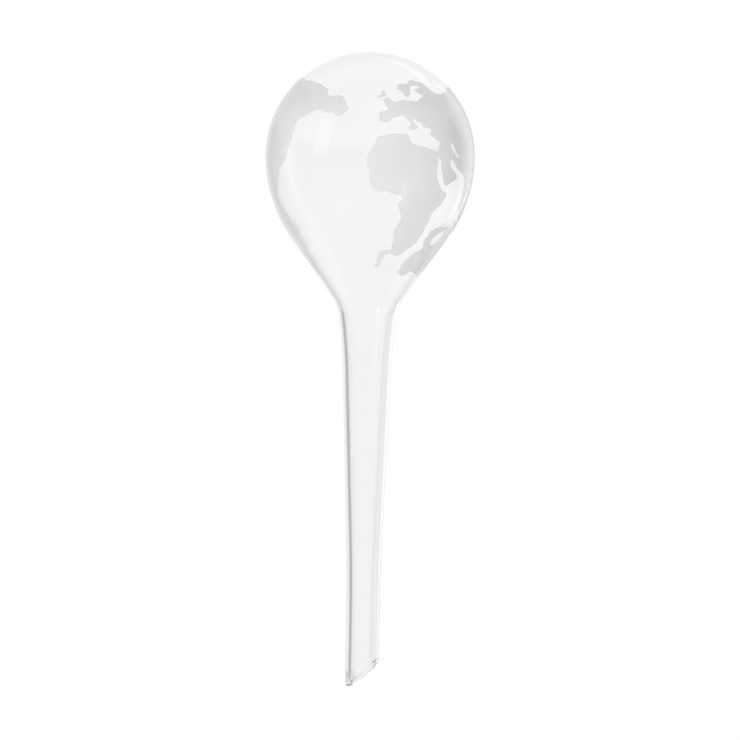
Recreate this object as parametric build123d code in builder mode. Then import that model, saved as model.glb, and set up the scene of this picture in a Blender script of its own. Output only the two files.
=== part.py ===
from build123d import *
import math
import os

# Glass watering globe with a frosted world map, in millimetres.
# +Z is up, +X is to the photograph's right and the photograph looks along +Y.
# The origin is on the axis, halfway up the straight foot of the stem, which goes into the soil.

# Bulb and shoulder
overall_length = 243.0
bulb_radius = 40.0
bulb_wall = 1.8
shoulder_radius = 53.6
cone_angle = 35.1

# Neck and stem
neck_radius = 15.0
flare_angle = 8.0
flare_radius = 205.0
stem_angle = 2.1
tail_radius = 870.0
foot_radius = 6.4
foot_length = 26.8
stem_wall = 2.0

# Mouth, cut aslant so that it can't seal against the soil
mouth_angle = 42.0
mouth_turn_angle = 12.0
bead_radius = 2.0
rim_round = 0.8
rim_share = 0.4

# Map, a fired frost that stands proud of the glass by a hair's breadth
frost_gap = 0.1
frost_thickness = 0.15

# One reach for every cut and every pyramid, past the whole piece
overrun = 20.0

tip_height = -foot_length / 2
foot_top = foot_length / 2
bulb_top = tip_height + overall_length
bulb_height = bulb_top - bulb_radius


def sine(angle):
    return math.sin(math.radians(angle))


def cosine(angle):
    return math.cos(math.radians(angle))


# Half of the glass's silhouette, from the bulb's top to its foot, moved outwards by two offsets.
# Tangent arcs and two straight runs, whose lengths close the total width and height.
def draw_side(bulb_offset, stem_offset, foot_end):
    bulb = bulb_radius + bulb_offset
    shoulder = shoulder_radius + bulb_offset
    neck = neck_radius - stem_offset
    flare = flare_radius - stem_offset
    tail = tail_radius - stem_offset
    foot = foot_radius + stem_offset

    across = bulb - foot - shoulder * (1 - cosine(cone_angle))
    across -= neck * (cosine(flare_angle) - cosine(cone_angle))
    across -= flare * (cosine(stem_angle) - cosine(flare_angle))
    across -= tail * (1 - cosine(stem_angle))
    down = bulb_height - foot_top - shoulder * sine(cone_angle)
    down -= neck * (sine(cone_angle) - sine(flare_angle))
    down -= flare * (sine(flare_angle) - sine(stem_angle))
    down -= tail * sine(stem_angle)
    spread = sine(cone_angle - stem_angle)
    cone = (across * cosine(stem_angle) - down * sine(stem_angle)) / spread
    taper = (down * sine(cone_angle) - across * cosine(cone_angle)) / spread

    CenterArc((0, bulb_height), bulb, 0, 90)
    place = (bulb - shoulder, bulb_height)
    shoulder_line = CenterArc(place, shoulder, 0, -cone_angle)
    slope = Line(shoulder_line @ 1, run_down(shoulder_line @ 1, cone, cone_angle))
    neck_line = hollow_arc(slope @ 1, neck, cone_angle, flare_angle)
    flare_line = hollow_arc(neck_line @ 1, flare, flare_angle, stem_angle)
    stem_line = Line(flare_line @ 1, run_down(flare_line @ 1, taper, stem_angle))
    tail_line = hollow_arc(stem_line @ 1, tail, stem_angle, 0)
    Line(tail_line @ 1, (foot, foot_end))


def run_down(start, length, angle):
    return (start.X - length * sine(angle), start.Y - length * cosine(angle))


# An arc that curves away from the axis, from a steeper lean to an upright one.
def hollow_arc(start, radius, from_angle, to_angle):
    place = (start.X + radius * cosine(from_angle), start.Y - radius * sine(from_angle))
    return CenterArc(place, radius, 180 - from_angle, from_angle - to_angle)


# The way from the bulb's centre at a turn round the axis and a rise above the waist.
def way(turn, rise):
    return Vector(sine(turn) * cosine(rise), -cosine(turn) * cosine(rise), sine(rise))


# A pyramid from the bulb's centre through a coastline.
def coast_pyramid(coast_share, mode=Mode.ADD):
    ways = [way(turn, rise) for turn, rise in coast_share]
    middle = sum(ways, Vector(0, 0, 0)).normalized()
    centre = Vector(0, 0, bulb_height)
    reach = shoulder_radius + overrun
    facing = Plane(origin=centre + middle * reach, z_dir=middle)
    flat = [facing.to_local_coords(centre + along * (reach / along.dot(middle))) for along in ways]
    with BuildSketch(facing) as sheet:
        with BuildLine():
            Polyline([(corner.X, corner.Y) for corner in flat], close=True)
        make_face()
    loft(sections=[sheet.sketch.face(), Vertex(0, 0, bulb_height)], ruled=True, mode=mode)


# Keeps what lies in the frost, a shell that follows the glass from the bulb's top to its foot.
def trim_to_frost():
    frost_outside = frost_gap + frost_thickness
    with BuildSketch(Plane.XZ) as frost:
        with BuildLine():
            draw_side(frost_outside, frost_outside, tip_height)
            draw_side(frost_gap, frost_gap, tip_height)
            Line((0, bulb_top + frost_gap), (0, bulb_top + frost_outside))
            Line((foot_radius + frost_gap, tip_height), (foot_radius + frost_outside, tip_height))
        make_face()
    revolve(frost.sketch, axis=Axis.Z, mode=Mode.INTERSECT)


os.makedirs("parts", exist_ok=True)

# Glass: one blown piece, open only at the mouth
mouth_way = Vector(cosine(mouth_turn_angle), -sine(mouth_turn_angle), 0)
mouth_plane = Plane(
    origin=(0, 0, tip_height),
    x_dir=mouth_way,
    z_dir=mouth_way.cross(Vector(0, 0, 1)),
)
bead_place = (bead_radius - foot_radius, bead_radius)
bead_side = (2 * bead_radius - foot_radius, bead_radius)
mouth_reach = foot_radius + overrun

with BuildPart() as glass_body:
    with BuildSketch(Plane.XZ):
        with BuildLine():
            draw_side(0, 0, tip_height - overrun)
            draw_side(-bulb_wall, -stem_wall, tip_height - overrun)
            Line((0, bulb_top - bulb_wall), (0, bulb_top))
            Line((foot_radius - stem_wall, tip_height - overrun), (foot_radius, tip_height - overrun))
        make_face()
    revolve(axis=Axis.Z)
    # The slanting cut, with both edges of its rim melted round
    with BuildSketch(mouth_plane):
        with Locations(bead_side):
            Rectangle(2 * mouth_reach, mouth_reach, rotation=mouth_angle, align=(Align.CENTER, Align.MAX))
    extrude(amount=mouth_reach, both=True, mode=Mode.SUBTRACT)
    mouth_face = glass_body.faces().filter_by(GeomType.PLANE).sort_by(Axis.Z)[0]
    fillet(mouth_face.edges(), min(rim_round, stem_wall * rim_share))
    # The bead that gathered at the lowest point, kept within the wall so that the bore stays clear
    with BuildSketch(mouth_plane):
        with Locations(bead_place):
            Circle(bead_radius)
    extrude(amount=foot_radius, both=True)
    with BuildSketch(Plane.XY.offset(tip_height - overrun)):
        Circle(mouth_reach)
        Circle(foot_radius, mode=Mode.SUBTRACT)
        Circle(foot_radius - stem_wall)
    extrude(amount=overrun + 2 * bead_radius, mode=Mode.SUBTRACT)
    with BuildSketch(mouth_plane):
        with Locations(bead_place):
            Rectangle(mouth_reach, mouth_reach, align=(Align.MAX, Align.MAX))
            Circle(bead_radius, mode=Mode.SUBTRACT)
    extrude(amount=mouth_reach, both=True, mode=Mode.SUBTRACT)
glass_body.part.label = "glass_body"
export_step(glass_body.part, "parts/glass_body.step")

# Coastlines, each a list of points by turn and rise, in shares of a turn with 360 to the whole.
# Turn 0 faces the photograph and grows to its right.
suez_share = [(39.2, 1.7), (40, -2.3)]

africa_share = suez_share + [
    (39.6, -8), (39.8, -12), (42.6, -16.7), (45.5, -19.5), (49.5, -20.5), (50, -22.5),
    (48.2, -24.7), (47.5, -26.7), (45, -29), (43, -31), (41.6, -33), (41.8, -35.5),
    (41, -40.3), (39.3, -47), (38.3, -50), (35.3, -51.8), (33, -52.8), (30, -55),
    (26.5, -56.8), (22.7, -56.8), (19.5, -55.6), (14.2, -56.2), (11.6, -58.7), (11.9, -61.3),
    (8.5, -63.2), (5.3, -62.7), (7.5, -59), (7.9, -56.2), (9.5, -53.8), (18.9, -53.6),
    (18, -50.5), (18.5, -48), (17.3, -44), (17.4, -41.2), (20, -37.5), (20.6, -35.4),
    (19.4, -32.8), (17, -28), (17.6, -26.2), (19.4, -24.5), (18.3, -22.6), (15.2, -22.6),
    (10, -20.7), (4.6, -21.1), (1.5, -18.6), (0, -16), (-0.7, -10), (-1.8, -5),
    (-1, -1), (0.6, 2), (2.6, 5), (3.6, 8.8), (8.2, 9.1), (11, 10.2),
    (19.5, 10.3), (21.4, 9.8), (21.7, 7.5), (23.2, 5.6), (26.4, 4), (30.2, 3.8), (34.3, 2.5),
]

# Eurasia is cut at one meridian, because one pyramid can't span it.
asia_turn_share = 70
west_eurasia_share = [
    (41, 6), (40, 7), (37, 9), (34.8, 10.2), (35.8, 13.4), (34.5, 14), (30.3, 14.5),
    (29.3, 17), (27.3, 17.3), (24.6, 19.5), (24.7, 17), (27.2, 14.6), (26.8, 13.4), (24.1, 12.4),
    (21.6, 13.2), (21.4, 14.4), (23, 15), (22.9, 16.6), (21.4, 18.1), (20, 20),
    (18.3, 20.9), (14.7, 19.7), (11.8, 18.9), (11.3, 17.2), (8, 16.4), (5, 17.2),
    (4.4, 20), (4.6, 22.4), (9.7, 23.2), (10.3, 24.6), (8.3, 27.2), (8.2, 29),
    (6.7, 30), (11, 31.8), (12.8, 29.3), (15.8, 28.6), (19.8, 30.4), (23.5, 29.9),
    (29.6, 29.6), (31.4, 30.6), (35.3, 32.8), (35, 34.1), (31.2, 35.4), (29.9, 37.5),
    (33, 38.1), (35.7, 39), (33.5, 40.1), (29.5, 40), (27.8, 39.2), (26.8, 35),
    (25.6, 32.8), (24, 31.8), (22.2, 32.4), (21.7, 34.4), (20.4, 36), (18, 37.4),
    (18.5, 40), (20.7, 41.1), (27, 41.4), (28.7, 43.9), (31, 44.6), (36.4, 43.9),
    (40.5, 42.2), (43.9, 39), (46.3, 36.6), (49, 35.3), (54, 35.2), (61, 37), (asia_turn_share, 40),
]
south_asia_share = [
    (asia_turn_share, -31), (68.5, -27.5), (67.2, -21), (66.2, -15), (64.5, -10.8), (59.5, -8.6),
    (55.7, -7), (52.6, -4), (50.4, -1.6), (49.1, -3.1), (49.9, -6.4), (51.6, -8), (55, -9.6),
    (56.6, -11.6), (54.9, -13.4), (51.5, -14.9), (48.4, -16.8), (46.8, -16.8), (44.9, -14),
    (44, -11), (42.1, -6.1), (41.7, -2.4),
]
east_eurasia_share = [
    (asia_turn_share, -31), (72.5, -24), (75, -15), (78, -9), (80.5, -12), (82, -20),
    (84.5, -27), (86.5, -24), (85, -18), (87, -13), (90, -17), (93, -11), (91.5, -5),
    (96, -6), (100, -3), (102, 2), (101.5, 8), (100.5, 12), (102.5, 13), (104, 9.5),
    (105.5, 11), (106, 17), (108, 22), (110, 27), (115, 30.5), (121, 31), (126, 29.5),
    (128, 25.5), (130, 24), (131.5, 28), (134, 32), (140, 33), (145, 34.5), (142, 37.5),
    (134, 39.5), (125, 38.5), (112, 41.5), (101, 44), (90, 43), (79, 42), (asia_turn_share, 40),
]
caspian_share = [
    (49.6, 5.9), (51.8, 6), (52.6, 3.8), (55, 0.9), (57.9, -1.8), (56.3, -2.2), (52.6, 1.3),
    (49.5, 3.6),
]

# The two Americas meet at Panama.
panama_share = [(-67.5, -28.8), (-76, -29)]
north_america_share = [
    (-69.3, 46.5), (-58.5, 43.6), (-49, 43.1), (-43.7, 41.6), (-38.9, 40.8), (-33.8, 38.6),
    (-30.2, 37), (-29.3, 32.6), (-23.8, 32), (-20.3, 32.7), (-17.3, 31.3), (-15.7, 28.6),
    (-13.5, 24.7), (-14.4, 22.4), (-17, 20), (-20.7, 20), (-22.4, 21.9), (-28.1, 21.9),
    (-31, 23.6), (-34.2, 23.6), (-38, 21.6), (-44.7, 18.6), (-47.3, 17), (-47.4, 13.9),
    (-48.3, 9), (-49, 5.4), (-52, 0.4), (-52.4, -2.9), (-54.1, -5), (-58.3, -7.2),
    (-60, -10.6), (-64.6, -17.3), (-67, -23),
] + panama_share + [
    (-82, -25), (-87, -20), (-92, -14), (-95, -8), (-98, -1), (-100, 7), (-102, 15), (-107, 22),
    (-114, 27), (-122, 29.5), (-129, 30), (-134, 34), (-131, 39), (-122, 42), (-110, 44.5),
    (-95, 46), (-81, 45.5),
]
south_america_share = panama_share[::-1] + [
    (-63.5, -30.2), (-63, -34), (-62, -36.6), (-56.4, -40), (-56.5, -43), (-58.8, -46),
    (-57.5, -48.8), (-58, -52), (-60.5, -53.6), (-65.5, -55.8), (-66, -59), (-66.5, -64),
    (-72, -67), (-78, -61), (-83, -54), (-90, -47), (-95, -41), (-93, -36), (-85, -32),
]

australia_share = [
    (46.4, -42.3), (50.5, -40.8), (53, -39.7), (63, -39.2), (70, -38.4), (78, -42),
    (82, -50), (80, -58), (75, -64), (69, -67), (63, -65.2), (49, -64.2), (45.7, -65.1),
    (43.4, -66.3), (38.1, -66.6), (32.8, -65.3), (31.6, -64.2), (33.6, -63.2), (32.6, -61.9),
    (34.3, -59.9), (39.5, -56.2), (42.4, -54.7), (46.4, -53.4), (48.4, -51.8), (45.4, -48.8),
    (45.6, -46.6), (47.4, -44.4),
]
australia_gap_share = [
    (63.3, -40.9), (61, -42), (56.9, -43.9), (53.9, -46.1), (53.9, -48.8), (55.3, -50.8),
    (58.9, -50.1), (63.1, -48.8), (65.5, -46.6), (65, -44),
]

british_isles_share = [
    (3.9, 32.4), (5.6, 32.7), (7.3, 33.8), (6.6, 35.8), (8.6, 36.6), (9.3, 34.4), (10, 32.8),
    (8, 32), (5.8, 31.1), (4.3, 31.2),
]
japan_share = [
    (107.5, 6.5), (110, 6.5), (112, 10), (114.5, 12), (117, 18), (114.5, 17), (112, 12.5),
    (108.5, 9),
]
sumatra_share = [(78, -25), (81, -26), (86.5, -33), (87, -36), (84, -35), (80.5, -30)]
borneo_share = [(90, -27), (94, -22.5), (97, -24), (96, -31), (92, -32)]
new_guinea_share = [(102, -36), (107, -36.5), (112, -41), (114, -44), (109, -43), (105, -40.5)]
new_zealand_share = [
    (112, -50), (115, -51.5), (113.5, -56), (109.5, -61.5), (107, -60.5), (111, -55),
]

with BuildPart() as africa:
    coast_pyramid(africa_share)
    trim_to_frost()
africa.part.label = "africa"
export_step(africa.part, "parts/africa.step")

with BuildPart() as eurasia:
    coast_pyramid(suez_share[:1] + west_eurasia_share + south_asia_share + suez_share[1:])
    coast_pyramid(east_eurasia_share)
    coast_pyramid(caspian_share, mode=Mode.SUBTRACT)
    trim_to_frost()
eurasia.part.label = "eurasia"
export_step(eurasia.part, "parts/eurasia.step")

with BuildPart() as north_america:
    coast_pyramid(north_america_share)
    trim_to_frost()
north_america.part.label = "north_america"
export_step(north_america.part, "parts/north_america.step")

with BuildPart() as south_america:
    coast_pyramid(south_america_share)
    trim_to_frost()
south_america.part.label = "south_america"
export_step(south_america.part, "parts/south_america.step")

with BuildPart() as australia:
    coast_pyramid(australia_share)
    coast_pyramid(australia_gap_share, mode=Mode.SUBTRACT)
    trim_to_frost()
australia.part.label = "australia"
export_step(australia.part, "parts/australia.step")

with BuildPart() as british_isles:
    coast_pyramid(british_isles_share)
    trim_to_frost()
british_isles.part.label = "british_isles"
export_step(british_isles.part, "parts/british_isles.step")

with BuildPart() as japan:
    coast_pyramid(japan_share)
    trim_to_frost()
japan.part.label = "japan"
export_step(japan.part, "parts/japan.step")

with BuildPart() as sumatra:
    coast_pyramid(sumatra_share)
    trim_to_frost()
sumatra.part.label = "sumatra"
export_step(sumatra.part, "parts/sumatra.step")

with BuildPart() as borneo:
    coast_pyramid(borneo_share)
    trim_to_frost()
borneo.part.label = "borneo"
export_step(borneo.part, "parts/borneo.step")

with BuildPart() as new_guinea:
    coast_pyramid(new_guinea_share)
    trim_to_frost()
new_guinea.part.label = "new_guinea"
export_step(new_guinea.part, "parts/new_guinea.step")

with BuildPart() as new_zealand:
    coast_pyramid(new_zealand_share)
    trim_to_frost()
new_zealand.part.label = "new_zealand"
export_step(new_zealand.part, "parts/new_zealand.step")
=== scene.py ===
import math

import bmesh
import bpy
from mathutils import Matrix, Vector


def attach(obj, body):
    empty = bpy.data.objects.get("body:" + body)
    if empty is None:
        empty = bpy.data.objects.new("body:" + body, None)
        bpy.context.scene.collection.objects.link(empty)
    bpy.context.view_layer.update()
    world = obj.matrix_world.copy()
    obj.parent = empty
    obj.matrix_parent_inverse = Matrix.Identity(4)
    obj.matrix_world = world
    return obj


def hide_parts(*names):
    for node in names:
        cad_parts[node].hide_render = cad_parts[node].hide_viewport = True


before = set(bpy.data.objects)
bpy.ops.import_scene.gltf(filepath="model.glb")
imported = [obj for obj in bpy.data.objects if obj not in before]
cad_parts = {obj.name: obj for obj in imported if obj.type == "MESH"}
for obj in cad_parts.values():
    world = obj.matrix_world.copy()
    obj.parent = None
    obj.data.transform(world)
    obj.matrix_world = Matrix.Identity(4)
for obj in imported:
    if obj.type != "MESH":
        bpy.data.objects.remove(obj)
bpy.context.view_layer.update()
scene = bpy.context.scene
scene.view_settings.view_transform = "Standard"
bounces = 128  # light runs a long way along a wall of glass
scene.cycles.max_bounces = bounces
scene.cycles.glossy_bounces = bounces
scene.cycles.transmission_bounces = bounces
scene.cycles.transparent_max_bounces = 24

# Helpers: shader maths, and a bmesh made into an object


class Wire:  # a socket that Python's own operators work on
    def __init__(self, tree, socket=None):
        self.tree = tree
        self.socket = socket

    def node(self, kind, settings=None, inputs=None, output=0):
        made = self.tree.nodes.new(kind)
        for name, value in (settings or {}).items():
            setattr(made, name, value)
        for name, value in (inputs or {}).items():
            if isinstance(value, Wire):
                self.tree.links.new(value.socket, made.inputs[name])
            else:
                made.inputs[name].default_value = value
        return Wire(self.tree, made.outputs[output]) if made.outputs else Wire(self.tree)

    def maths(self, operation, first, second):
        return self.node("ShaderNodeMath", {"operation": operation}, {0: first, 1: second})

    def __add__(self, other):
        return self.maths("ADD", self, other)

    def __radd__(self, other):
        return self.maths("ADD", other, self)

    def __sub__(self, other):
        return self.maths("SUBTRACT", self, other)

    def __rsub__(self, other):
        return self.maths("SUBTRACT", other, self)

    def __mul__(self, other):
        return self.maths("MULTIPLY", self, other)


def newMaterial(name):
    material = bpy.data.materials.new(name)
    material.use_nodes = True
    material.node_tree.nodes.clear()
    return material, Wire(material.node_tree)


def smoothRange(wire, value, limits, tones=(0.0, 1.0)):
    # a smooth step from the first tone to the second between two limits
    ends = {"From Min": limits[0], "From Max": limits[1], "To Min": tones[0], "To Max": tones[1]}
    return wire.node("ShaderNodeMapRange", {"interpolation_type": "SMOOTHSTEP"}, {"Value": value, **ends})


def newObject(name, bm, *materials):
    mesh = bpy.data.meshes.new(name)
    bm.to_mesh(mesh)
    bm.free()
    for material in materials:
        mesh.materials.append(material)
    made = bpy.data.objects.new(name, mesh)
    scene.collection.objects.link(made)
    return made


# Camera: level, a little rolled, because the globe leans in the photograph

camera = {
    "distance": 2.0,
    "aimRight": 0.00123,
    "aimHeight": 0.1078,
    "lens": 254.0,
    "sensorWidth": 36,
    "lean": 0.93,  # degrees
}
eye = bpy.data.objects.new("camera", bpy.data.cameras.new("camera"))
eye.data.lens = camera["lens"]
eye.data.sensor_width = camera["sensorWidth"]
place = Matrix.Translation((camera["aimRight"], -camera["distance"], camera["aimHeight"]))
upright = Matrix.Rotation(math.radians(90), 4, "X")
eye.matrix_world = place @ upright @ Matrix.Rotation(math.radians(camera["lean"]), 4, "Z")
scene.collection.objects.link(eye)
scene.camera = eye
print("camera placed")

# Studio: a white room that the glass shows, softer light for what is solid

studio = {
    "white": 1.0,  # behind the globe, as the camera, the gloss and the glass see it
    "side": 0.9,
    "front": 0.46,  # the darker room behind the camera
    "frontFade": (-0.2, 0.4),  # how far back the front fades into the sides
    "behindFade": (0.965, 0.993),  # and the sides into what is behind
    "ambient": 0.79,  # what lights solid surfaces
    "shade": 0.14,  # how much darker than that it is from the right
    "aimedAt": 0.15,  # the height that the cards and lamps face
    "floorHeight": -0.16,
    "floorHalf": 1.5,
    "floorTone": 0.91,
    "floorGrain": 0.02,
    "floorGrainScale": 900.0,
}
room = bpy.data.worlds.new("studio")
room.use_nodes = True
room.node_tree.nodes.clear()
scene.world = room
wire = Wire(room.node_tree)
seenRay = wire.node("ShaderNodeLightPath")
rays = seenRay.socket.node
shown = Wire(wire.tree, rays.outputs["Is Camera Ray"]) + Wire(wire.tree, rays.outputs["Is Glossy Ray"])
shown = shown + Wire(wire.tree, rays.outputs["Is Transmission Ray"])
shown.socket.node.use_clamp = True
towards = wire.node("ShaderNodeTexCoord", {}, {}, "Generated")
depth = wire.node("ShaderNodeSeparateXYZ", {}, {"Vector": towards}, "Y")
sideTone = smoothRange(wire, depth, studio["frontFade"], (studio["front"], studio["side"]))
behind = smoothRange(wire, depth, studio["behindFade"])
roomTone = sideTone + behind * (studio["white"] - studio["side"])
across = wire.node("ShaderNodeSeparateXYZ", {}, {"Vector": towards}, "X")
softTone = studio["ambient"] - across * studio["shade"]
strength = softTone + shown * (roomTone - softTone)
glow = wire.node("ShaderNodeBackground", {}, {"Color": (1, 1, 1, 1), "Strength": strength})
wire.node("ShaderNodeOutputWorld", {}, {"Surface": glow})


def placeAround(turn, rise, distance):
    # a place round the bulb and the way to it, from a turn (0 is behind, + to the right) and a rise
    turnBy = math.radians(turn)
    riseBy = math.radians(rise)
    level = math.cos(riseBy)
    way = Vector((math.sin(turnBy) * level, math.cos(turnBy) * level, math.sin(riseBy)))
    return Matrix.Translation(Vector((0, 0, studio["aimedAt"])) + way * distance), way


def makeCard(name, width, height, turn, rise, distance, tone, soft, through=True):
    # a soft-edged card that the gloss sees, and the light through the glass too unless told otherwise
    material, shade = newMaterial(name)
    across = shade.node("ShaderNodeTexCoord", {}, {}, "UV")
    mask = 1.0
    for side in "XY":
        share = shade.node("ShaderNodeSeparateXYZ", {}, {"Vector": across}, side)
        inset = 0.5 - shade.node("ShaderNodeMath", {"operation": "ABSOLUTE"}, {0: share - 0.5})
        mask = smoothRange(shade, inset, (0.0, soft)) * mask
    glow = shade.node("ShaderNodeEmission", {}, {"Color": (1, 1, 1, 1), "Strength": tone})
    clear = shade.node("ShaderNodeBsdfTransparent")
    blend = shade.node("ShaderNodeMixShader", {}, {0: mask, 1: clear, 2: glow})
    shade.node("ShaderNodeOutputMaterial", {}, {"Surface": blend})
    bm = bmesh.new()
    bm.loops.layers.uv.new("share")
    bmesh.ops.create_grid(bm, x_segments=1, y_segments=1, size=0.5, calc_uvs=True)
    bmesh.ops.scale(bm, vec=(width, height, 1), verts=bm.verts)
    centre, way = placeAround(turn, rise, distance)
    facing = (-way).to_track_quat("Z", "Y").to_matrix().to_4x4()
    bmesh.ops.transform(bm, matrix=centre @ facing, verts=bm.verts)
    card = newObject(name, bm, material)
    card.visible_camera = False
    card.visible_diffuse = False
    card.visible_shadow = False
    card.visible_transmission = through


cards = {
    "darkLeft": {
        "width": 1.4, "height": 1.9, "turn": -52, "rise": -12, "distance": 1.4,
        "tone": 0.46, "soft": 0.25,
    },
    "softRight": {
        "width": 0.9, "height": 2.0, "turn": 41, "rise": 5, "distance": 1.5,
        "tone": 1.5, "soft": 0.2, "through": False,
    },
    "darkRight": {
        "width": 0.95, "height": 1.6, "turn": 76, "rise": 8, "distance": 1.6,
        "tone": 0.0, "soft": 0.25, "through": False,
    },
    "softTop": {
        "width": 1.3, "height": 0.4, "turn": 26, "rise": 46, "distance": 1.5,
        "tone": 1.2, "soft": 0.45,
    },
    "window": {
        "width": 0.62, "height": 1.15, "turn": -124, "rise": 19, "distance": 1.5,
        "tone": 0.98, "soft": 0.2,
    },
    "windowSide": {
        "width": 0.9, "height": 1.0, "turn": -104, "rise": 22, "distance": 1.6,
        "tone": 0.75, "soft": 0.4,
    },
    "lowGlint": {
        "width": 0.3, "height": 0.54, "turn": 138, "rise": -28, "distance": 1.5,
        "tone": 2.2, "soft": 0.25, "through": False,
    },
}
for name, card in cards.items():
    makeCard(name, **card)

lamps = {
    "leftLamp": {"width": 0.25, "height": 0.08, "turn": -125, "rise": -30, "distance": 0.5, "watts": 0.5},
    "lowLamp": {"width": 1.2, "height": 0.14, "turn": 180, "rise": -13, "distance": 0.9, "watts": 1.0},
}


def makeLamp(name, width, height, turn, rise, distance, watts):
    # lights what is solid, and stays out of the glass
    light = bpy.data.lights.new(name, "AREA")
    light.shape = "RECTANGLE"
    light.size = width
    light.size_y = height
    light.energy = watts
    lamp = bpy.data.objects.new(name, light)
    centre, way = placeAround(turn, rise, distance)
    lamp.matrix_world = centre @ way.to_track_quat("Z", "Y").to_matrix().to_4x4()
    lamp.visible_camera = False
    lamp.visible_glossy = False
    lamp.visible_transmission = False
    scene.collection.objects.link(lamp)


for name, lamp in lamps.items():
    makeLamp(name, **lamp)

floorMaterial, shade = newMaterial("floor")
coordinates = shade.node("ShaderNodeTexCoord", {}, {}, "Object")
grain = {"Vector": coordinates, "Scale": studio["floorGrainScale"], "Detail": 3.0}
tone = shade.node("ShaderNodeTexNoise", {}, grain) * studio["floorGrain"] + studio["floorTone"]
floorColour = shade.node("ShaderNodeCombineColor", {}, {0: tone, 1: tone, 2: tone})
matt = {"Base Color": floorColour, "Roughness": 0.9, "Specular IOR Level": 0.2}
floorSurface = shade.node("ShaderNodeBsdfPrincipled", {}, matt)
shade.node("ShaderNodeOutputMaterial", {}, {"Surface": floorSurface})
bm = bmesh.new()
bmesh.ops.create_grid(bm, x_segments=1, y_segments=1, size=studio["floorHalf"])
bmesh.ops.translate(bm, vec=(0, 0, studio["floorHeight"]), verts=bm.verts)
ground = newObject("floor", bm, floorMaterial)
ground.visible_glossy = False
print("studio lit")

# Glass: the whole wall turned from one outline, then its mouth cut aslant and melted round

glass = {
    "bulbRadius": 0.040,
    "topWall": 0.0008,  # blown thin
    "innerShoulderRadius": 0.0473,  # thickens the wall to 1.8 mm at the cone
    "bulbHeight": 0.1896,
    "shoulderRadius": 0.0536,
    "coneAngle": 35.1,
    "neckRadius": 0.015,
    "flareAngle": 8.0,
    "flareRadius": 0.205,
    "stemAngle": 2.1,
    "tailRadius": 0.870,
    "footRadius": 0.0064,
    "footLimit": 1.001,  # points out to this share of it belong to the foot
    "footTop": 0.0134,
    "tip": -0.0134,
    "stemWall": 0.0020,
    "around": 192,  # steps round the glass, and then those down its arcs
    "bulbSteps": 60,
    "shoulderSteps": 24,
    "neckSteps": 20,
    "flareSteps": 10,
    "tailSteps": 8,
    "spare": 0.01,  # how far the tube runs past the tip until it is cut
    "seam": 1e-7,  # points this close are one
    "onWall": 1e-6,  # and those this close to the wall are on it
    "mouthAngle": 42.0,
    "mouthTurn": 12.0,
    "rowStep": 0.0002,  # rows of points back from the cut, close ones and then these
    "rowCount": 14,
    "farRows": [0.0034, 0.0042, 0.0055, 0.007],
    "meltTop": 0.006,  # the heat reaches up to here
    "rimRound": 0.0008,
    "rimSag": 0.0006,
    "rimSteps": 8,
    "beadRadius": 0.0020,
    "beadLift": 0.00012,  # keeps the bead's underside in the box of the solids
    "beadSpread": 40.0,  # degrees each way round the rim
    "gatherReach": 0.0015,  # how far up the bore the bead's glass gathers
    "gatherFall": 1.5,
}


def sine(angle):
    return math.sin(math.radians(angle))


def cosine(angle):
    return math.cos(math.radians(angle))


def bend(bm, end, centre, angle, steps):
    # carries the outline's end round a centre, towards the right for a positive angle
    turned = bmesh.ops.spin(
        bm,
        geom=[end],
        cent=(centre[0], 0, centre[1]),
        axis=(0, 1, 0),
        angle=math.radians(angle),
        steps=steps,
    )
    return [v for v in turned["geom_last"] if isinstance(v, bmesh.types.BMVert)][0]


def reach(bm, end, length, angle):
    # carries the outline's end down and inwards at a lean
    grown = bmesh.ops.extrude_vert_indiv(bm, verts=[end])["verts"][0]
    grown.co += Vector((-length * sine(angle), 0, -length * cosine(angle)))
    return grown


def sideRuns(bulb, shoulder, stemOffset):
    # lengths of the cone and the taper, which close the width and the height
    g = glass
    neck = g["neckRadius"] - stemOffset
    flare = g["flareRadius"] - stemOffset
    tail = g["tailRadius"] - stemOffset
    foot = g["footRadius"] + stemOffset
    cone, lean, stem = g["coneAngle"], g["flareAngle"], g["stemAngle"]
    across = bulb - foot - shoulder * (1 - cosine(cone)) - neck * (cosine(lean) - cosine(cone))
    across -= flare * (cosine(stem) - cosine(lean)) + tail * (1 - cosine(stem))
    down = g["bulbHeight"] - g["footTop"] - shoulder * sine(cone) - neck * (sine(cone) - sine(lean))
    down -= flare * (sine(lean) - sine(stem)) + tail * sine(stem)
    spread = sine(cone - stem)
    coneRun = (across * cosine(stem) - down * sine(stem)) / spread
    taperRun = (down * sine(cone) - across * cosine(cone)) / spread
    return neck, flare, tail, coneRun, taperRun


def drawSide(bm, bulb, shoulder, stemOffset, footEnd):
    g = glass
    neck, flare, tail, coneRun, taperRun = sideRuns(bulb, shoulder, stemOffset)
    cone, lean, stem = g["coneAngle"], g["flareAngle"], g["stemAngle"]
    end = bm.verts.new((0, 0, g["bulbHeight"] + bulb))
    end = bend(bm, end, (0, g["bulbHeight"]), 90, g["bulbSteps"])
    end = bend(bm, end, (bulb - shoulder, g["bulbHeight"]), cone, g["shoulderSteps"])
    end = reach(bm, end, coneRun, cone)
    centre = (end.co.x + neck * cosine(cone), end.co.z - neck * sine(cone))
    end = bend(bm, end, centre, lean - cone, g["neckSteps"])
    centre = (end.co.x + flare * cosine(lean), end.co.z - flare * sine(lean))
    end = bend(bm, end, centre, stem - lean, g["flareSteps"])
    end = reach(bm, end, taperRun, stem)
    centre = (end.co.x + tail * cosine(stem), end.co.z - tail * sine(stem))
    end = bend(bm, end, centre, -stem, g["tailSteps"])
    return reach(bm, end, end.co.z - footEnd, 0)


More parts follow.
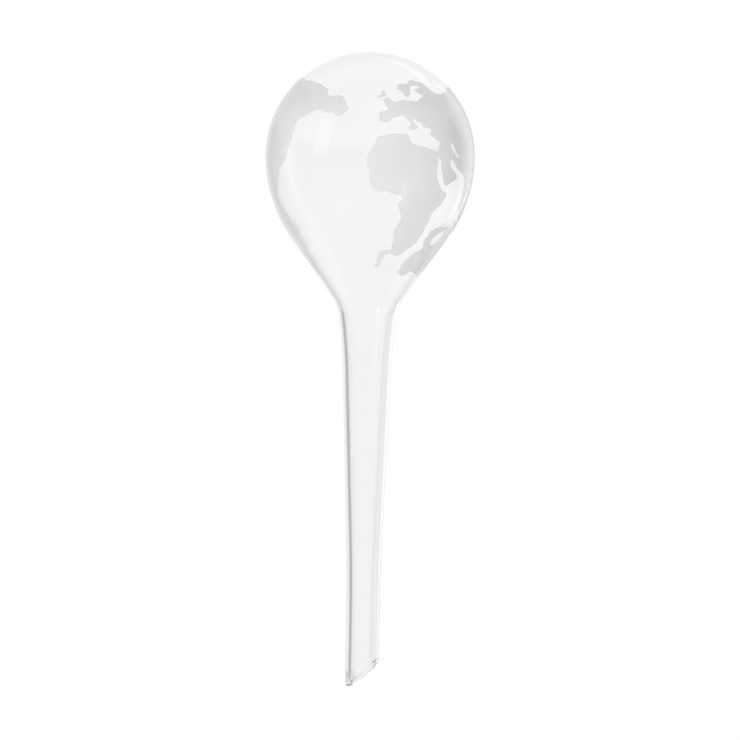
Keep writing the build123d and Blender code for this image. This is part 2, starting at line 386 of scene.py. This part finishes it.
def turnShell(bm, bulb, shoulder, stemOffset):
    # one side of the wall, turned from its outline, facing outwards
    before = set(bm.verts)
    drawSide(bm, bulb, shoulder, stemOffset, glass["tip"] - glass["spare"])
    outline = [v for v in bm.verts if v not in before]
    edges = [e for e in bm.edges if e.verts[0] not in before]
    bmesh.ops.spin(
        bm,
        geom=outline + edges,
        cent=(0, 0, 0),
        axis=(0, 0, 1),
        angle=math.tau,
        steps=glass["around"],
        use_merge=True,
    )
    bmesh.ops.remove_doubles(bm, verts=[v for v in bm.verts if v not in before], dist=glass["seam"])
    shell = [f for f in bm.faces if f.verts[0] not in before]
    bmesh.ops.recalc_face_normals(bm, faces=shell)
    return shell


def cutAcross(bm, place, way, clear=False):
    # cuts the glass by a plane, and clears what lies beyond the plane if told to
    everything = bm.verts[:] + bm.edges[:] + bm.faces[:]
    bmesh.ops.bisect_plane(bm, geom=everything, plane_co=place, plane_no=way, clear_outer=clear)


def closeRim(bm, outOfMouth):
    # a band of faces over the cut, from the outside to the bore
    rim = [e for e in bm.edges if e.is_boundary]
    bridge = bmesh.ops.bridge_loops(bm, edges=rim)
    bmesh.ops.recalc_face_normals(bm, faces=bridge["faces"])
    if bridge["faces"][0].normal.dot(outOfMouth) < 0:
        bmesh.ops.reverse_faces(bm, faces=bridge["faces"])
    bmesh.ops.subdivide_edges(bm, edges=bridge["edges"], cuts=glass["rimSteps"] - 1)


def meltMouth(bm, toMouth, outOfMouth, rimPlace, beadHeight):
    # lets the rim sag and go round, and the bead gather at its lowest point
    g = glass
    top = g["meltTop"]
    boreRadius = g["footRadius"] - g["stemWall"]
    beadGrowth = 2 * (g["beadRadius"] - g["stemWall"] / 2)

    def cutHeight(point, radius):
        # height of the sagging rim above or below a point, taken at a radius
        flat = Vector((point.x, point.y, 0)).normalized() * radius
        sag = g["rimSag"] * (1 - (flat.dot(toMouth) / g["footRadius"]) ** 2)
        return rimPlace.z + (flat - rimPlace).dot(toMouth) * math.tan(math.radians(g["mouthAngle"])) - sag

    def beadShare(point):
        aside = math.degrees(Vector((point.x, point.y)).angle(-toMouth.to_2d()))
        share = max(0, 1 - aside / g["beadSpread"])
        return share * share * (3 - 2 * share)

    for v in bm.verts:
        radius = v.co.to_2d().length
        if v.co.z > top or radius > g["footRadius"] * g["footLimit"]:
            continue
        share = beadShare(v.co)
        way = v.co.to_2d().normalized().to_3d()
        outer = radius > (g["footRadius"] + boreRadius) / 2
        wall = g["footRadius"] if outer else boreRadius
        if abs(radius - wall) < g["onWall"]:
            # on the wall: with the rim, and inwards where the bead gathers
            low = cutHeight(v.co, wall)
            newLow = low + (beadHeight - low) * share
            above = (v.co.z - low) / (top - low)
            v.co.z = newLow + above * (top - newLow)
            if not outer:
                lift = max(0, v.co.z - newLow) / g["gatherReach"]
                v.co -= way * (beadGrowth * share) * math.exp(-(lift ** g["gatherFall"]))
        else:
            # on the band over the cut: half a turn from the outside to the bore
            turn = math.pi * (g["footRadius"] - radius) / g["stemWall"]
            outHeight = cutHeight(v.co, g["footRadius"])
            inHeight = cutHeight(v.co, boreRadius)
            outHeight += (beadHeight - outHeight) * share
            inHeight += (beadHeight - inHeight) * share
            innerRadius = boreRadius - beadGrowth * share
            middle = (g["footRadius"] + innerRadius) / 2
            half = (g["footRadius"] - innerRadius) / 2
            swell = g["rimRound"] + (g["beadRadius"] - g["rimRound"]) * share
            outwards = (outOfMouth * (1 - share) + Vector((0, 0, -1)) * share).normalized()
            height = (outHeight + inHeight) / 2 + (outHeight - inHeight) / 2 * math.cos(turn)
            v.co = way * (middle + half * math.cos(turn)) + Vector((0, 0, height))
            v.co += outwards * swell * math.sin(turn)


def makeGlass(material):
    g = glass
    bm = bmesh.new()
    turnShell(bm, g["bulbRadius"], g["shoulderRadius"], 0)
    inner = turnShell(bm, g["bulbRadius"] - g["topWall"], g["innerShoulderRadius"], -g["stemWall"])
    bmesh.ops.reverse_faces(bm, faces=inner)

    # the slanting cut, and rows beside it that keep the wall straight
    toMouth = Vector((cosine(g["mouthTurn"]), -sine(g["mouthTurn"]), 0))
    outOfMouth = toMouth * sine(g["mouthAngle"]) - Vector((0, 0, cosine(g["mouthAngle"])))
    beadHeight = g["tip"] + g["beadRadius"] + g["beadLift"]
    cutPlace = toMouth * (2 * g["beadRadius"] - g["footRadius"]) + Vector((0, 0, beadHeight))
    rimPlace = cutPlace - outOfMouth * g["rimRound"]
    cutAcross(bm, rimPlace, outOfMouth, clear=True)
    for back in [g["rowStep"] * row for row in range(1, g["rowCount"] + 1)] + g["farRows"]:
        cutAcross(bm, rimPlace - outOfMouth * back, outOfMouth)
    closeRim(bm, outOfMouth)
    meltMouth(bm, toMouth, outOfMouth, rimPlace, beadHeight)
    bm.normal_update()
    for f in bm.faces:
        f.smooth = True
    piece = newObject("blownGlass", bm, material)
    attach(piece, "root")
    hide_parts("glass_body")
    return piece


glassLook = {
    "tint": (0.985, 0.986, 0.986, 1),
    "bending": 1.5,
    "waveStretch": (1, 1, 0.35),  # faint waves, drawn out along the stem
    "waveScale": 38.0,
    "waveStrength": 0.015,
    "waveDepth": 0.0006,
}
clearGlass, shade = newMaterial("clearGlass")
coordinates = shade.node("ShaderNodeTexCoord", {}, {}, "Object")
drawnOut = {"Vector": coordinates, "Scale": glassLook["waveStretch"]}
stretched = shade.node("ShaderNodeMapping", {}, drawnOut)
wave = {"Vector": stretched, "Scale": glassLook["waveScale"], "Detail": 1.0}
waves = shade.node("ShaderNodeTexNoise", {}, wave)
bump = {"Height": waves, "Strength": glassLook["waveStrength"], "Distance": glassLook["waveDepth"]}
waveBump = shade.node("ShaderNodeBump", {}, bump)
glassSurface = shade.node(
    "ShaderNodeBsdfPrincipled",
    {},
    {
        "Base Color": glassLook["tint"],
        "Roughness": 0.0,
        "IOR": glassLook["bending"],
        "Transmission Weight": 1.0,
        "Normal": waveBump,
    },
)
shade.node("ShaderNodeOutputMaterial", {}, {"Surface": glassSurface})
blownGlass = makeGlass(clearGlass)
print("glass blown:", len(blownGlass.data.polygons), "faces")

# Map: each landmass is a thin fired frost that follows the glass

frost = {
    "gap": 0.00006,
    "thickness": 0.00012,
    "edge": 0.0012,  # longest side of its facets
    "splits": 8,
    "sliver": 1e-4,
    "seam": 1e-6,  # points this close are one
    "outermost": 0.4,  # faces that look outwards less than this aren't the top of the solid
    "folded": 0.3,  # and those under this have folded over as the coast softened
    "lands": (
        "africa",
        "eurasia",
        "north_america",
        "south_america",
        "australia",
        "british_isles",
        "japan",
        "sumatra",
        "borneo",
        "new_guinea",
        "new_zealand",
    ),
}
frostLook = {
    "tone": 0.65,
    "cloudScale": 90.0,  # clouds and grains, and what they add to the tone, the cover and the roughness
    "cloudTone": 0.03,
    "cloudCover": 0.03,
    "cloudRoughness": 0.1,
    "grainScale": 2600.0,
    "grainTone": 0.04,
    "grainCover": 0.02,
    "grainStrength": 0.2,
    "grainDepth": 0.00005,
    "roughness": 0.45,
    "coatRoughness": 0.08,  # the glass shines through the frost
}


def frostMaterial(name, veil, aslant, behind):
    # matt and half clear: a veil seen head on, its growth where it's seen aslant, and its loss from behind
    look = frostLook
    material, shade = newMaterial(name)
    coordinates = shade.node("ShaderNodeTexCoord", {}, {}, "Object")
    fine = {"Vector": coordinates, "Scale": look["grainScale"], "Detail": 2.0}
    grain = shade.node("ShaderNodeTexNoise", {}, fine)
    broad = {"Vector": coordinates, "Scale": look["cloudScale"], "Detail": 2.0}
    cloud = shade.node("ShaderNodeTexNoise", {}, broad)
    tone = look["tone"] + cloud * look["cloudTone"] + grain * look["grainTone"]
    colour = shade.node("ShaderNodeCombineColor", {}, {0: tone, 1: tone, 2: tone})
    relief = {"Height": grain, "Strength": look["grainStrength"], "Distance": look["grainDepth"]}
    bump = shade.node("ShaderNodeBump", {}, relief)
    surface = shade.node(
        "ShaderNodeBsdfPrincipled",
        {},
        {
            "Base Color": colour,
            "Roughness": look["roughness"] + cloud * look["cloudRoughness"],
            "Coat Weight": 1.0,
            "Coat Roughness": look["coatRoughness"],
            "Normal": bump,
        },
    )
    clear = shade.node("ShaderNodeBsdfTransparent")
    lean = shade.node("ShaderNodeLayerWeight", {}, {"Blend": 0.5}, "Facing")
    back = shade.node("ShaderNodeNewGeometry", {}, {}, "Backfacing")
    cover = veil + cloud * look["cloudCover"] + grain * look["grainCover"] + lean * aslant
    cover = cover * (1.0 - back * behind)
    mix = shade.node("ShaderNodeMixShader", {}, {0: cover, 1: clear, 2: surface})
    shade.node("ShaderNodeOutputMaterial", {}, {"Surface": mix})
    return material


frostFinish = frostMaterial("frost", veil=0.34, aslant=0.7, behind=0.75)
frostUnder = frostMaterial("frostUnder", veil=0.02, aslant=0.0, behind=0.0)


def ontoGlass(point, offset):
    # the nearest place on the glass's outside, moved outwards by an offset
    flat = Vector((point.x, point.y, 0))
    radius = flat.length
    way = flat.normalized() if radius > 1e-9 else Vector((1, 0, 0))
    if point.z >= glass["bulbHeight"]:
        centre = Vector((0, 0, glass["bulbHeight"]))
        return centre + (point - centre).normalized() * (glass["bulbRadius"] + offset)
    hub = Vector((glass["bulbRadius"] - glass["shoulderRadius"], glass["bulbHeight"]))
    arm = Vector((radius, point.z)) - hub
    angle = math.degrees(math.atan2(-arm.y, arm.x))
    if angle <= glass["coneAngle"]:
        arm = hub + arm.normalized() * (glass["shoulderRadius"] + offset)
        return way * arm.x + Vector((0, 0, arm.y))
    outwards = Vector((cosine(glass["coneAngle"]), -sine(glass["coneAngle"])))
    depth = arm.dot(outwards)
    arm = Vector((radius, point.z)) + outwards * (glass["shoulderRadius"] + offset - depth)
    return way * arm.x + Vector((0, 0, arm.y))


def turnedFrom(bm, limit):
    # the faces that look outwards from the bulb's centre less than a limit
    centre = Vector((0, 0, glass["bulbHeight"]))
    bm.normal_update()
    away = {p: (p.calc_center_median() - centre).normalized() for p in bm.faces}
    return [p for p in bm.faces if p.normal.dot(away[p]) < limit]


def splitEven(bm):
    # facets no longer than the edge; flipped edges keep them from growing thin
    for _ in range(frost["splits"]):
        inside = [e for e in bm.edges if not e.is_boundary]
        bmesh.ops.beautify_fill(bm, faces=bm.faces, edges=inside, method="ANGLE")
        long = [e for e in bm.edges if e.calc_length() > frost["edge"]]
        if not long:
            break
        bmesh.ops.subdivide_edges(bm, edges=long, cuts=1)
        bmesh.ops.triangulate(bm, faces=[p for p in bm.faces if len(p.verts) > 3])


def softenCoast(bm):
    # each point half way to the middle of its neighbours, along the coast at the coast
    before = {v: v.co.copy() for v in bm.verts}
    softer = {}
    for v in bm.verts:
        beside = [e.other_vert(v).co for e in v.link_edges if e.is_boundary or not v.is_boundary]
        if len(beside) > 1:
            softer[v] = v.co * 0.5 + sum(beside, Vector()) * (0.5 / len(beside))
    for v, co in softer.items():
        v.co = co
    folded = turnedFrom(bm, frost["folded"])
    for v in {v for p in folded for v in p.verts}:
        v.co = before[v]


def makeFrost(name):
    f = frost
    bm = bmesh.new()
    bm.from_mesh(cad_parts[name].data)
    bmesh.ops.remove_doubles(bm, verts=bm.verts, dist=f["seam"])
    bmesh.ops.delete(bm, geom=turnedFrom(bm, f["outermost"]), context="FACES")
    bmesh.ops.dissolve_degenerate(bm, dist=f["sliver"], edges=bm.edges)
    splitEven(bm)
    softenCoast(bm)
    for v in bm.verts:
        v.co = ontoGlass(v.co, f["gap"])
    under = bm.faces[:]
    grown = bmesh.ops.extrude_face_region(bm, geom=under, use_keep_orig=True)["geom"]
    for v in grown:
        if isinstance(v, bmesh.types.BMVert):
            v.co = ontoGlass(v.co, f["gap"] + f["thickness"])
    bmesh.ops.reverse_faces(bm, faces=under)
    top = {p for p in grown if isinstance(p, bmesh.types.BMFace)}
    bm.normal_update()
    for p in bm.faces:
        p.material_index = 0 if p in top else 1
        p.smooth = True
    for e in bm.edges:
        e.smooth = len({p in top for p in e.link_faces}) == 1
    piece = newObject(name + "_frost", bm, frostFinish, frostUnder)
    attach(piece, "root")
    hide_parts(name)
    return piece


for land in frost["lands"]:
    piece = makeFrost(land)
    print("frost laid:", land, len(piece.data.polygons), "faces")

print("finished")
